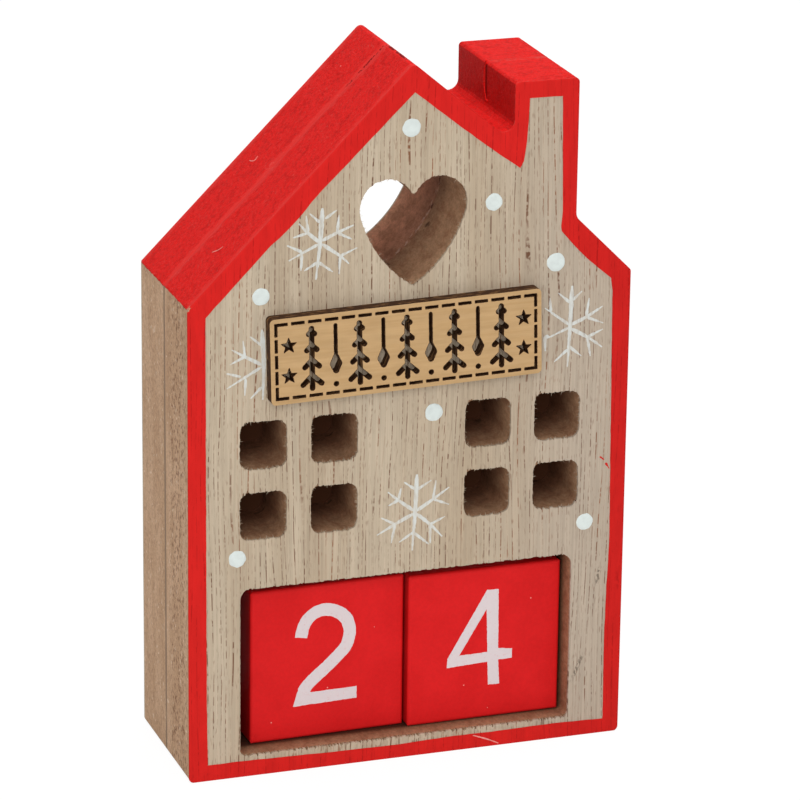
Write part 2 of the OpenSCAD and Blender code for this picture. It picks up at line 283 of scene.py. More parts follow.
def fibreColours(tree, pitDepths):
    x, y, z = coordinates(tree)
    apart = addNode(tree, "ShaderNodeMath", {0: x}, operation="ABSOLUTE").outputs[0]
    face = fibreboard["outerFace"] * mm
    outside = rise(tree, apart, (face, face + 0.2 * mm))
    sanded = layOver(tree, fibreboard["sanded"], fibreboard["sandedTan"],
                     grain(tree, (6, 5, 24), (0.34, 0.66), detail=3, roughness=0.6))
    pits = grain(tree, (0.75, 0.9, 1.3), (0.5, 0.64), detail=3, roughness=0.65)
    if pitDepths:
        middle, inner, outer = pitDepths
        sanded = layOver(tree, sanded, fibreboard["pit"], pits,
                         band(tree, y, middle, inner, outer), 0.8)
    else:
        sanded = layOver(tree, sanded, fibreboard["pit"], pits, 0.3)
    sanded = layOver(tree, sanded, fibreboard["fleck"],
                     grain(tree, (0.6, 0.9, 1.2), (0.66, 0.74), (0, 0.7), detail=1))
    wall = steepMask(tree)
    milled = layOver(tree, fibreboard["milledFront"], fibreboard["milledBack"],
                     rise(tree, y, (-1 * mm, 0)))
    milled = layOver(tree, milled, fibreboard["milledDeep"],
                     grain(tree, (2.2, 4, 2.2), (0.36, 0.68), (0, 0.6), detail=3))
    # Painted shade, deepening into the windows
    milled = layOver(tree, milled, fibreboard["windowShade"],
                     band(tree, z, *fibreboard["windowZone"]),
                     rise(tree, y, (-19 * mm, -3 * mm), (0, 0.86)))
    # Painted shade halfway through the heart, where the seam is
    milled = layOver(tree, milled, fibreboard["heartMidShade"],
                     band(tree, z, *fibreboard["heartZone"]), band(tree, y, 0.5, 0.5, 9), 0.36)
    # Painted shade deeper in the bay
    milled = layOver(tree, milled, fibreboard["bayShade"],
                     band(tree, z, *fibreboard["bayZone"]),
                     rise(tree, y, (-18 * mm, -10.5 * mm), (0.1, 1)))
    # Painted shadow on the bay's floor at the foot of the blocks, tinted red by the light they throw
    milled = layOver(tree, milled, fibreboard["bayFloorShadow"], band(tree, z, *fibreboard["bayFloorZone"]),
                     band(tree, x, 0, 40, 41), rise(tree, y, (-14.4 * mm, -12.6 * mm), (0, 0.85)))
    milled = layOver(tree, milled, fibreboard["crack"], wall,
                     grain(tree, (2.6, 1.8, 2.6), (0.58, 0.66), (0, 0.8), detail=3),
                     band(tree, y, -1.5, 1.5, 3.5))
    milled = layOver(tree, milled, fibreboard["glue"], wall,
                     grain(tree, (1.5, 1.2, 1.5), (0.5, 0.58), (0, 0.75), detail=3),
                     band(tree, y, 0.2, 0.3, 0.85), band(tree, z, *fibreboard["heartZone"]))
    milled = shaded(tree, milled, grain(tree, (0.8, 1.6, 0.8), (0.32, 0.68), (0.88, 1.1),
                                        detail=3, roughness=0.6))
    ledges = addNode(tree, "ShaderNodeMath", {0: 1.0, 1: wall}, operation="SUBTRACT")
    milled = layOver(tree, milled, fibreboard["ledge"], ledges.outputs[0],
                     rise(tree, y, (-17.9 * mm, -17.5 * mm), (1, 0)))
    both = layOver(tree, milled, sanded, outside)
    grit = grain(tree, (0.5, 0.7, 0.6), (0.3, 0.7), (0.86, 1.12), detail=4, roughness=0.7)
    return shaded(tree, both, grit), grit, outside


def boardSurface(tree, pitDepths):
    colour, grit, outside = fibreColours(tree, pitDepths)
    return colour, addNode(tree, "ShaderNodeBump", {
        "Height": grit, "Strength": 0.9, "Distance": fibreboard["roughDepth"] * mm})


# Front board: cut coarsely, so its outside has dark pits
def frontBoardSurface(tree):
    return boardSurface(tree, fibreboard["pitZone"])


# Back board: smoother, with few pits
def backBoardSurface(tree):
    return boardSurface(tree, None)


# Inner veneers: glued face to face, so outside only their edges show, as a thin dull line
def innerVeneerSurface(tree):
    colour, grit, outside = fibreColours(tree, None)
    colour = layOver(tree, colour, fibreboard["seam"], outside,
                     grain(tree, (0, 0.7, 6), (0.3, 0.5), (0.65, 1)))
    # Their flat faces show only at the far end of the windows, painted dark there as shade
    flat = addNode(tree, "ShaderNodeMath", {0: 1.0, 1: steepMask(tree)}, operation="SUBTRACT")
    return layOver(tree, colour, fibreboard["windowEndShade"], flat.outputs[0]), None


# Plywood: pale sheet, cut by a laser, so the cut walls are scorched brown and soot marks
# the face along them
plywood = {
    "face": "#BD9B70",
    "faceTan": "#AF8C5F",
    "scorch": "#3C2516",
    "scorchPale": "#84603D",
    "roughness": 0.7,
    "gloss": 0.12,
}


def plywoodSurface(tree):
    face = layOver(tree, plywood["face"], plywood["faceTan"],
                   grain(tree, (16, 0, 0.9), (0.3, 0.7), (0, 0.6), detail=3, roughness=0.6))
    face = shaded(tree, face, grain(tree, (7, 0, 2), (0.3, 0.7), (0.96, 1.05)))
    wall = layOver(tree, plywood["scorch"], plywood["scorchPale"],
                   grain(tree, (2.2, 0.7, 2.2), (0.5, 0.72), detail=2))
    return layOver(tree, face, wall, steepMask(tree)), None


def charSurface(tree):
    return layOver(tree, plywood["scorch"], plywood["scorchPale"],
                   grain(tree, (0.5, 0.5, 0.5), (0.55, 0.75), (0, 0.5), detail=2)), None


# Red paint: water-based and brushed on thick, satin. It shows the pores on the veneer, and
# over the sawn fibre it dried rough and blotchy, with a smooth paler skin on the veneer edges.
redPaint = {
    "red": "#EB2623",
    "front": "#CD2320",
    "blotch": "#B41311",
    "skin": "#D8332F",
    "pore": "#9A1514",
    "fibre": "#E25A52",
    "bare": "#AE9077",
    "bareSpot": (-50.2, -18.1, 108.8),     # the corner where the eaves are worn
    "chip": "#74100F",
    # Places are the middle in mm, and how far from it they are full and fade out
    "crack": (0.15, 0.2, 0.42),    # in y, the cracked paint along the seam
    "crackedFrom": 148,            # height in mm from which it is cracked
    "ridge": (-0.1, 0.2, 0.6),     # in x, the ridge
    "ridgeChips": (-7, 5, 6.5),    # in y, the part of the ridge that is chipped
    "seamShade": (0.1, 0.3, 0.75),    # in y, painted shade of the seam's groove on the chimney's left wall
    "topSeamHighlight": (0.4, 0.25, 1.1),   # and a painted highlight along the seam on the chimney's top
    "edgeHighlight": (-18.1, 0.06, 0.2),    # in y, the roof's front edge, painted pale as a highlight
    "hairRun": 20 / 3,          # mm, cell of the noise that the fine hairs follow
    "boardMiddle": 9.1,         # mm from the seam to the middle of each board
    "chimneySideShade": 0.64,        # painted shade on the chimney's left side
    # painted light on the upward-facing tops, such as the chimney's
    "chimneyTopLight": 1.13,
    "roughDepth": 0.35,         # mm
    "roughness": 0.6,
    "gloss": 0.03,
}


def brushedRedSurface(tree):
    x, y, z = coordinates(tree)
    faces = facing(tree)
    onSide = rise(tree, y, (-18.3 * mm, -18.0 * mm))
    frontShare = addNode(tree, "ShaderNodeMath", {0: 1.0, 1: onSide}, operation="SUBTRACT")
    fromSeam = addNode(tree, "ShaderNodeMath", {0: y}, operation="ABSOLUTE").outputs[0]
    edge = addNode(tree, "ShaderNodeMath", {
        0: fromSeam, 1: grain(tree, (3, 3, 3), (0.3, 0.7), (-0.5 * mm, 0.5 * mm))})
    fibre = addNode(tree, "ShaderNodeMath", {
        0: band(tree, edge.outputs[0], redPaint["boardMiddle"], 6.9, 8.7),
        1: rise(tree, x, (0, 5 * mm))}, operation="MAXIMUM").outputs[0]
    red = layOver(tree, redPaint["skin"], redPaint["red"], fibre)
    red = layOver(tree, red, redPaint["blotch"], fibre,
                  grain(tree, (2, 2, 2), (0.47, 0.66), (0, 0.38), detail=4, roughness=0.7))
    red = layOver(tree, red, redPaint["blotch"], fibre,
                  grain(tree, (0.8, 0.8, 0.8), (0.5, 0.66), (0, 0.3), detail=3, roughness=0.7))
    red = layOver(tree, red, redPaint["fibre"], onSide,
                  grain(tree, (0.55, 0.55, 0.55), (0.64, 0.72), (0, 0.4), detail=1))
    hairs = addNode(tree, "ShaderNodeTexNoise", {
        "Vector": addNode(tree, "ShaderNodeTexCoord").outputs["Object"],
        "Scale": 1 / (redPaint["hairRun"] * mm), "Detail": 1.0, "Distortion": 1.5})
    hair = addNode(tree, "ShaderNodeMath", {0: hairs.outputs["Fac"], 1: 0.5},
                   operation="SUBTRACT")
    thin = addNode(tree, "ShaderNodeMath", {0: hair.outputs[0]}, operation="ABSOLUTE")
    red = layOver(tree, red, redPaint["fibre"], rise(tree, thin.outputs[0], (0.003, 0.007), (1, 0)),
                  grain(tree, (5, 5, 5), (0.6, 0.68), (0, 0.5)), onSide)
    # Painted shade on left-facing walls and painted light on upward-facing tops
    red = shaded(tree, red, rise(tree, faces["X"], (-0.97, -0.85), (redPaint["chimneySideShade"], 1)),
                 rise(tree, faces["Z"], (0.85, 0.97), (1, redPaint["chimneyTopLight"])))
    # Painted highlight along the roof's front edge, right of the ridge
    red = layOver(tree, red, redPaint["fibre"], band(tree, y, *redPaint["edgeHighlight"]),
                  rise(tree, x, (0, 5 * mm)), grain(tree, (1.5, 1.5, 1.5), (0.4, 0.6), (0, 0.7)))
    # The seam shows on the chimney: painted shade where it runs as a groove down its left wall, and a
    # painted highlight along it over its top
    atChimney = rise(tree, x, (5 * mm, 8 * mm))
    red = layOver(tree, red, redPaint["chip"], band(tree, y, *redPaint["seamShade"]),
                  rise(tree, faces["X"], (-0.97, -0.85), (0.85, 0)), atChimney,
                  rise(tree, z, (143.6 * mm, 144.4 * mm)))
    red = layOver(tree, red, redPaint["fibre"], band(tree, y, *redPaint["topSeamHighlight"]),
                  rise(tree, faces["Z"], (0.85, 0.97)), atChimney,
                  grain(tree, (1.6, 0.9, 1), (0.4, 0.6), (0.1, 0.65), detail=3))
    cracks = grain(tree, (0.6, 0.6, 0.9), (0.46, 0.54), detail=2)
    cracked = redPaint["crackedFrom"] * mm
    red = layOver(tree, red, redPaint["chip"], band(tree, y, *redPaint["crack"]), cracks,
                  rise(tree, z, (cracked, cracked + 3 * mm)), rise(tree, x, (4 * mm, 8 * mm), (1, 0)))
    red = layOver(tree, red, redPaint["chip"], band(tree, x, *redPaint["ridge"]),
                  band(tree, y, *redPaint["ridgeChips"]), rise(tree, z, (156 * mm, 157 * mm)),
                  grain(tree, (0.9, 0.9, 0.9), (0.4, 0.5), detail=2))
    front = layOver(tree, redPaint["front"], redPaint["pore"], veneerPores(tree), 0.65)
    front = shaded(tree, front, rise(tree, x, (20 * mm, 48 * mm), (1, 0.9)),
                   grain(tree, (2.5, 0, 9), (0.3, 0.7), (0.94, 1.05), detail=3))
    red = layOver(tree, red, front, frontShare.outputs[0])
    place = addNode(tree, "ShaderNodeTexCoord").outputs["Object"]
    spot = [value * mm for value in redPaint["bareSpot"]]
    away = addNode(tree, "ShaderNodeVectorMath", {0: place, 1: spot}, operation="DISTANCE")
    ragged = addNode(tree, "ShaderNodeMath", {
        0: away.outputs["Value"],
        1: grain(tree, (0.9, 0.9, 0.9), (0.3, 0.7), (-0.5 * mm, 0.5 * mm), detail=3)})
    red = layOver(tree, red, redPaint["bare"],
                  rise(tree, ragged.outputs[0], (0.5 * mm, 0.75 * mm), (1, 0)))
    grit = product(tree, fibre, onSide,
                   grain(tree, (0.9, 0.9, 0.9), (0.25, 0.75), detail=4, roughness=0.7))
    return red, addNode(tree, "ShaderNodeBump", {
        "Height": grit, "Strength": 0.9, "Distance": redPaint["roughDepth"] * mm})


# Block paint: the same red sprayed on sanded cubes, so even, smooth and a little brighter
blockPaint = {
    "red": "#D51C1E",
    "shade": "#CF191B",
    "left": 0.72,               # painted shade: the left sides are darker
    "peelDepth": 0.05,          # mm, fine unevenness of sprayed paint
    "roughness": 0.5,
    "gloss": 0.1,
}


def blockRedSurface(tree):
    colour = layOver(tree, blockPaint["red"], blockPaint["shade"],
                     grain(tree, (9, 9, 9), (0.35, 0.65)))
    # Painted shade on the left sides of the blocks
    colour = shaded(tree, colour, grain(tree, (0.7, 0.7, 0.7), (0.3, 0.7), (0.97, 1.03)),
                    rise(tree, facing(tree)["X"], (-0.97, -0.8), (blockPaint["left"], 1)))
    return colour, addNode(tree, "ShaderNodeBump", {
        "Height": grain(tree, (0.6, 0.6, 0.6), (0.25, 0.75), detail=3, roughness=0.6),
        "Strength": 0.25, "Distance": blockPaint["peelDepth"] * mm})


# White paint: dabbed dots are thick, stamped numerals let a little red through, and the
# snowflakes are thin brush strokes that let the wood through
whitePaint = {
    "dot": "#D3DBD8",
    "numeral": "#D8CCCE",
    "numeralThin": "#D2A3A3",
    "flake": "#D2D6D3",
    "fleck": "#EA978E",
    "roughness": 0.55,
    "gloss": 0.25,
}


def dotSurface(tree):
    return shaded(tree, linearColour(whitePaint["dot"])[:3],
                  grain(tree, (1.2, 1.2, 1.2), (0.3, 0.7), (0.94, 1.02), detail=3)), None


def numeralSurface(tree):
    return layOver(tree, whitePaint["numeral"], whitePaint["numeralThin"],
                   grain(tree, (0.8, 0.8, 0.8), (0.56, 0.74), (0, 0.55), detail=3,
                         roughness=0.7)), None


def flakeSurface(tree):
    wood, pores = veneerColours(tree)
    return layOver(tree, wood, whitePaint["flake"],
                   grain(tree, (0.6, 0, 3), (0.3, 0.62), (0.4, 0.88), detail=3,
                         roughness=0.6)), None


# Pale pink of what lies in the red paint: specks, a scratch and hairs
def fleckSurface(tree):
    return shaded(tree, linearColour(whitePaint["fleck"])[:3],
                  grain(tree, (0.4, 0.4, 0.4), (0.3, 0.7), (0.85, 1.05))), None


veneerMaterial = makeMaterial("limed_open_pored_veneer", veneer, veneerSurface)
innerMaterial = makeMaterial("glued_inner_veneer", fibreboard, innerVeneerSurface)
frontBoard = makeMaterial("sanded_fibreboard_pitted", fibreboard, frontBoardSurface)
backBoard = makeMaterial("sanded_fibreboard_smooth", fibreboard, backBoardSurface)
plywoodMaterial = makeMaterial("laser_cut_plywood", plywood, plywoodSurface)
charMaterial = makeMaterial("laser_char", plywood, charSurface)
brushedRed = makeMaterial("brushed_red_paint", redPaint, brushedRedSurface)
blockRed = makeMaterial("sprayed_red_paint", blockPaint, blockRedSurface)
dotPaint = makeMaterial("dabbed_white_paint", whitePaint, dotSurface)
numeralPaint = makeMaterial("stamped_white_paint", whitePaint, numeralSurface)
flakePaint = makeMaterial("brushed_white_paint", whitePaint, flakeSurface)
fleckPaint = makeMaterial("pale_scuff", whitePaint, fleckSurface)
print("materials made")

nodeFinish = {
    "back_face_veneer": veneerMaterial,
    "back_board_core": backBoard,
    "back_inner_veneer": innerMaterial,
    "front_inner_veneer": innerMaterial,
    "front_board_core": frontBoard,
    "front_face_veneer": veneerMaterial,
    "plaque": plywoodMaterial,
    "number_block_left": blockRed,
    "number_block_right": blockRed,
}
for nodeName, finish in nodeFinish.items():
    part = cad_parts[nodeName]
    if not part.material_slots:
        part.data.materials.append(finish)
    for slot in part.material_slots:
        slot.material = finish
print("CAD nodes painted")


# Outlines read from the CAD nodes, as closed loops of (x, z)
def faceLoops(nodeName):
    mesh = bmesh.new()
    mesh.from_mesh(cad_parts[nodeName].data)
    bmesh.ops.remove_doubles(mesh, verts=mesh.verts, dist=0.002 * mm)
    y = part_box(nodeName)[0].y
    ring = {}
    for edge in mesh.edges:
        if len(edge.link_faces) != 2 or any(abs(v.co.y - y) > 0.01 * mm for v in edge.verts):
            continue
        tilts = sorted(face.normal.y for face in edge.link_faces)
        if tilts[0] < -0.9 and tilts[1] > -0.5:
            a, b = edge.verts
            ring.setdefault(a.index, []).append(b.index)
            ring.setdefault(b.index, []).append(a.index)
    mesh.verts.ensure_lookup_table()
    places = {i: (mesh.verts[i].co.x, mesh.verts[i].co.z) for i in ring}
    mesh.free()
    loops = []
    while ring:
        start = min(ring)
        loop = [start]
        while True:
            following = [i for i in ring[loop[-1]] if i not in loop[-2:]]
            if not following or following[0] == start:
                break
            loop.append(following[0])
        loops.append([places[i] for i in loop])
        for i in loop:
            del ring[i]
    return sorted(loops, key=lambda loop: -abs(loopArea(loop)))


def loopArea(loop):
    return sum(a[0] * b[1] - b[0] * a[1] for a, b in zip(loop, loop[1:] + loop[:1])) / 2


def counterClockwise(loop):
    return loop if loopArea(loop) > 0 else loop[::-1]


def inside(point, loop):
    x, z = point
    hit = False
    for (ax, az), (bx, bz) in zip(loop, loop[1:] + loop[:1]):
        if (az > z) != (bz > z) and x < ax + (z - az) * (bx - ax) / (bz - az):
            hit = not hit
    return hit


def insideAny(point, loops, boxes):
    for loop, (lowX, highX, lowZ, highZ) in zip(loops, boxes):
        if lowX <= point[0] <= highX and lowZ <= point[1] <= highZ and inside(point, loop):
            return True
    return False


def loopBoxes(loops):
    return [(min(p[0] for p in loop), max(p[0] for p in loop),
             min(p[1] for p in loop), max(p[1] for p in loop)) for loop in loops]


# Points every so far along a line, its own corners kept
def resample(points, spacing, closed=False):
    out = []
    for a, b in zip(points, points[1:] + (points[:1] if closed else [])):
        count = max(1, round(math.dist(a, b) / spacing))
        out += [tuple(p + (q - p) * k / count for p, q in zip(a, b)) for k in range(count)]
    return out if closed else out + [points[-1]]


# Smooth curve through a few points
def smoothLine(points, steps):
    padded = [points[0]] + list(points) + [points[-1]]
    out = []
    for a, b, c, d in zip(padded, padded[1:], padded[2:], padded[3:]):
        for k in range(steps):
            t = k / steps
            out.append(tuple(
                0.5 * (2 * q + (r - p) * t + (2 * p - 5 * q + 4 * r - s) * t ** 2
                       + (3 * q - p - 3 * r + s) * t ** 3)
                for p, q, r, s in zip(a, b, c, d)))
    return out + [tuple(points[-1])]


# Unit normals of a closed counter-clockwise loop, pointing out of it
def outwardNormals(loop):
    normals = []
    for a, b, c in zip(loop[-1:] + loop[:-1], loop, loop[1:] + loop[:1]):
        before = Vector((b[1] - a[1], a[0] - b[0])).normalized()
        after = Vector((c[1] - b[1], b[0] - c[0])).normalized()
        normals.append((before + after).normalized())
    return normals


# Strip of a given width along an open line, as one closed loop
def stripLoop(line, halfWidths):
    sides = ([], [])
    for i, (x, z) in enumerate(line):
        before = line[max(i - 1, 0)]
        after = line[min(i + 1, len(line) - 1)]
        direction = Vector((after[0] - before[0], after[1] - before[1])).normalized()
        for side, sign in zip(sides, (1, -1)):
            half = sign * halfWidths[i]
            side.append((x - direction.y * half, z + direction.x * half))
    return sides[0] + sides[1][::-1]


def addPiece(name, data, body):
    piece = bpy.data.objects.new(name, data)
    scene.collection.objects.link(piece)
    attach(piece, body)
    return piece


def newPiece(name, mesh, material, body):
    data = bpy.data.meshes.new(name)
    bmesh.ops.remove_doubles(mesh, verts=mesh.verts, dist=mergeGap)
    mesh.to_mesh(data)
    mesh.free()
    data.materials.append(material)
    return addPiece(name, data, body)


# Thin film over the union of flat shapes, less the holes. place(x, z, height) gives a point
# in space, its height measured outwards from the surface that carries the film. With openRim,
# the first shape's rim is left without a wall, and its top and base corners come back.
def addFilm(mesh, shapes, place, thickness, holes=(), openRim=False):
    points = []
    edges = []
    for loop in list(shapes) + list(holes):
        first = len(points)
        points += [Vector((x / mm, z / mm)) for x, z in loop]
        edges += [(first + k, first + (k + 1) % len(loop)) for k in range(len(loop))]
    points, _, faces, sources, *_ = delaunay_2d_cdt(points, edges, [], 1, 1e-5)
    points = [(p.x * mm, p.y * mm) for p in points]
    shapeBoxes = loopBoxes(shapes)
    holeBoxes = loopBoxes(holes)
    kept = []
    for face in faces:
        middle = tuple(sum(points[i][axis] for i in face) / len(face) for axis in (0, 1))
        if insideAny(middle, shapes, shapeBoxes) and not insideAny(middle, holes, holeBoxes):
            kept.append(list(face))
    top = {}
    base = {}
    for i in sorted({i for face in kept for i in face}):
        top[i] = mesh.verts.new(place(*points[i], thickness))
        base[i] = mesh.verts.new(place(*points[i], 0))
    rims = set()
    for face in kept:
        mesh.faces.new([top[i] for i in face])
        mesh.faces.new([base[i] for i in reversed(face)])
        rims |= set(zip(face, face[1:] + face[:1]))
    found = {source: i for i, group in enumerate(sources) for source in group}
    outer = [found[k] for k in range(len(shapes[0]))] if openRim else []
    skipped = set(zip(outer, outer[1:] + outer[:1]))
    for a, b in sorted(rims):
        if (b, a) not in rims and (a, b) not in skipped:
            mesh.faces.new([top[b], top[a], base[a], base[b]])
    return [(top[i], base[i]) for i in outer]


frontLoops = [counterClockwise(loop) for loop in faceLoops("front_face_veneer")]
outline = frontLoops[0]
print("outlines read:", len(frontLoops), "loops,", len(outline), "points outside")

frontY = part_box("front_face_veneer")[0].y
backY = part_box("back_face_veneer")[1].y


def onFront(x, z, height):
    return (x, frontY - height, z)


# Front veneer, torn along its openings: fibres run upright, so they break at different
# heights above and below an opening, and the cutter lifts thin splinters at its sides
tearing = {
    "spacing": 0.16 * mm,
    "fibre": 0.3 * mm,          # width of the fibres that break off together
    "chip": 0.3 * mm,           # how far they break back above an opening
    "corner": 1.3 * mm,         # and at its upper left corner, where the cutter came out
    "fuzz": 0.4 * mm,           # how far they stand up at its foot
    "fuzzLevel": 0.25,          # less this share of it, so that the short ones end below the cut
    "lip": 0.6 * mm,            # how deep the chips are in the strip below the bay
    "splinter": 0.14 * mm,      # how far they stand in at the sides
    "splinterRun": 0.7 * mm,
    "bayFrom": 1000 * mm ** 2,  # an opening larger than this is the bay
    "windowTo": 150 * mm ** 2,  # and one smaller than this a window
    "seed": 12,
}


def isBay(loop):
    return loopArea(loop) > tearing["bayFrom"]


def tornLoop(loop, draws):
    bay = isBay(loop)
    window = loopArea(loop) < tearing["windowTo"]
    points = resample(loop, tearing["spacing"], closed=True)
    middleX = sum(p[0] for p in points) / len(points)
    columns = {}
    out = []
    for (x, z), n in zip(points, outwardNormals(points)):
        key = round(x / tearing["fibre"])
        column = columns.setdefault((key, n.y > 0), draws.random())
        if n.y > 0:
            # Full in the middle of the upper left corner
            corner = max(0, -n.x) * n.y * 2 if window and x < middleX else 0
            lift = n.y * (tearing["chip"] * column ** 2 + tearing["corner"] * corner * column)
        else:
            lift = -n.y * tearing["fuzz"] * (column ** 2 - tearing["fuzzLevel"])
            if bay:
                lift = n.y * tearing["lip"] * column ** 3
        sway = noise.noise(Vector((middleX, 4.2, z)) / tearing["splinterRun"])
        side = n.x * tearing["splinter"] * (abs(sway) if bay else sway) * abs(n.x)
        out.append((x + side, z + lift))
    return out


def tearVeneer():
    mesh = bmesh.new()
    low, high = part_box("front_face_veneer")
    draws = random.Random(tearing["seed"])
    torn = [tornLoop(loop, draws) for loop in frontLoops[1:]]

    def onCore(x, z, height):
        return (x, high.y - height, z)

    addFilm(mesh, [outline], onCore, high.y - low.y, holes=torn)
    piece = newPiece("front_veneer_sheet", mesh, veneerMaterial, "house")
    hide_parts("front_face_veneer")
    return torn


tornLoops = tearVeneer()
print("front veneer torn along its openings")


# Red paint: a masked border on the front, brushed round the edge and all over the roof
border = {
    "thickness": 0.12 * mm,
    "edgeRound": 0.2 * mm,
    "spacing": 1.0 * mm,
    "innerSpacing": 0.6 * mm,
    "eavesStep": 0.05 * mm,      # the side walls' bare part starts this far below the eaves
    "rowSpacing": 1.5 * mm,      # from one row of points on the roof to the next
    "seamRows": (0.15, 0.3, 0.5, 0.8),    # mm, closer rows at both sides of the seam
    "wobble": 0.07 * mm,         # how far the masked edge wanders
    "wobbleRun": 2.5 * mm,
    "lap": 0.12 * mm,            # how far the brush went round onto the side walls
    "lapWander": 0.12 * mm,
    "lapRun": 1.3 * mm,
    "seamDepth": 0.1 * mm,       # the paint sinks where the boards meet
    "seamWidth": 0.35 * mm,
    "lumps": 0.035 * mm,         # unevenness of the paint on the roof
    "lumpRun": 2.2 * mm,
    "tuck": 0.02 * mm,           # the hidden underside lies this far inside the wood
    "fringe": 0.35 * mm,         # ragged paint below the eaves
    "fringeShares": (0.1, 0.5),  # least and mean share of it
    "fringeSpacing": 0.4 * mm,
    "fringeCells": 0.31,         # cells of its noise from one point to the next
    "fringeHeight": 0.1 * mm,
    "arcSteps": 4,
    # Hand-masked inner edge, counter-clockwise from the bottom left, in mm
    "inner": [
        (-45.8, 3.7), (-38.5, 3.7), (-13.2, 3.2), (-1.6, 3.1), (10, 3.5), (22, 3.4),
        (34, 3.6), (46.3, 3.3), (46.4, 3.9), (46.3, 10), (46.2, 22), (46.4, 34),
        (46.8, 45.8), (45.9, 103.9), (45.5, 106.9), (42.9, 109.1), (40.5, 111.2),
        (38.1, 113.6), (36.2, 115.6), (33.8, 118.5), (33.6, 119.6), (33.9, 123),
        (33.3, 148.6), (25.8, 148.7), (25.3, 139.2), (24.7, 134.9), (23.9, 133.4),
        (19.3, 136.7), (14.7, 140.2), (10.1, 143.8), (7.8, 145.6), (1.1, 151),
        (-0.1, 151.9), (-3.4, 148.7), (-14.4, 138), (-21, 131.7), (-23.2, 129.3),
        (-25.3, 126.8), (-27.5, 124.6), (-29.7, 122.6), (-31.9, 120.8), (-46.2, 106.2),
        (-46.1, 19), (-45.9, 3.7),
    ],
}


# Without a seed, noise_vector would draw another pattern in each run
noise.seed_set(8)


def wobbled(loop, amount, run, seed):
    out = []
    for x, z in loop:
        shift = noise.noise_vector(Vector((x / run, seed, z / run)))
        out.append((x + amount * shift.x, z + amount * shift.z))
    return out


def paintBorder():
    mesh = bmesh.new()
    e = border["edgeRound"]
    t = border["thickness"]
    steps = border["arcSteps"]
    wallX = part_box("front_face_veneer")[1].x
    eaves = max(z for x, z in outline if abs(abs(x) - wallX) < 0.1 * mm)
    shaped = []
    for x, z in outline:
        step = (x, z - border["eavesStep"])
        atEaves = abs(z - eaves) < 0.01 * mm and abs(abs(x) - wallX) < 0.1 * mm
        shaped += [step] if atEaves and x > 0 else []
        shaped += [(x, z)]
        shaped += [step] if atEaves and x < 0 else []
    rim = resample(shaped, border["spacing"], closed=True)
    normals = outwardNormals(rim)
    inset = [(p[0] - n.x * e, max(p[1] - n.y * e, e if n.y < -0.9 else 0))
             for p, n in zip(rim, normals)]
    inner = resample([(x * mm, z * mm) for x, z in border["inner"]],
                     border["innerSpacing"], closed=True)
    inner = wobbled(inner, border["wobble"], border["wobbleRun"], 3.1)
    ring = addFilm(mesh, [inset], onFront, t, holes=[inner], openRim=True)

    count = int((backY - e) / border["rowSpacing"])
    levels = [0] + [side * d * mm for d in border["seamRows"] for side in (-1, 1)]
    levels += [k * border["rowSpacing"] for k in range(1 - count, count) if k]
    levels = sorted(levels) + [backY - e]
    arc = [math.pi / 2 * k / steps for k in range(1, steps + 1)]
    rows = []
    for (x, z), n, (topCorner, baseCorner) in zip(rim, normals, ring):
        def spot(out, y):
            return mesh.verts.new((x + n.x * out, y, max(z + n.y * out, 0)))
        row = [topCorner]
        row += [spot((e + t) * math.sin(a) - e, frontY + e - (e + t) * math.cos(a)) for a in arc]
        if z > eaves - 0.01 * mm:
            for y in levels:
                lump = border["lumps"] * noise.noise(Vector((x, y, z)) / border["lumpRun"])
                sink = border["seamDepth"] * math.exp(-(y / border["seamWidth"]) ** 2)
                row.append(spot(t - sink + lump, y))
            row += [spot((e + t) * math.cos(a) - e, backY - e + (e + t) * math.sin(a))
                    for a in arc]
            row += [spot(-e, backY), spot(-border["tuck"], backY)]
        else:
            wander = noise.noise(Vector((x, 5.3 * mm, z)) / border["lapRun"])
            end = frontY + e + border["lap"] + border["lapWander"] * wander
            row.append(spot(t, end))
            row += [spot(-border["tuck"], end + t) for k in range(len(levels) + steps + 1)]
        row += [spot(-border["tuck"], frontY + border["tuck"]), baseCorner]
        rows.append(row)
    for a, b in zip(rows, rows[1:] + rows[:1]):
        for k in range(len(a) - 1):
            mesh.faces.new([a[k], b[k], b[k + 1], a[k + 1]])

    # Ragged paint just below the eaves
    for side in (-1, 1):
        def onWall(y, z, height):
            return (side * (wallX + height), y, z)
        step = border["fringeSpacing"]
        least, mean = border["fringeShares"]
        line = [(frontY + (k + 1) * step, eaves - border["fringe"] * max(
            least, mean + noise.noise(Vector((k * border["fringeCells"], 2.7, side)))))
            for k in range(int((backY - frontY) / step) - 1)]
        addFilm(mesh, [line + [(line[-1][0], eaves), (line[0][0], eaves)]], onWall,
                border["fringeHeight"])
    bmesh.ops.remove_doubles(mesh, verts=mesh.verts, dist=mergeGap)
    bmesh.ops.recalc_face_normals(mesh, faces=mesh.faces)
    newPiece("red_border_paint", mesh, brushedRed, "house")


paintBorder()
print("red paint laid on")


# Runs a node tree on points or edges, and keeps the result as a plain mesh
def runTree(name, tree, seedMesh, values, body):
    holder = bpy.data.objects.new(name + "_holder", seedMesh)
    scene.collection.objects.link(holder)
    modifier = holder.modifiers.new("tree", "NODES")
    modifier.node_group = tree
    for item in tree.interface.items_tree:
        if item.in_out == "INPUT" and item.name in values:
            modifier[item.identifier] = values[item.name]
    holder.update_tag()
    bpy.context.view_layer.update()
    evaluated = holder.evaluated_get(bpy.context.evaluated_depsgraph_get())
    data = bpy.data.meshes.new_from_object(evaluated)
    data.name = name
    bpy.data.objects.remove(holder)
    return addPiece(name, data, body)


def seedPoints(name, places, edges=()):
    data = bpy.data.meshes.new(name)
    data.from_pydata(places, list(edges), [])
    return data


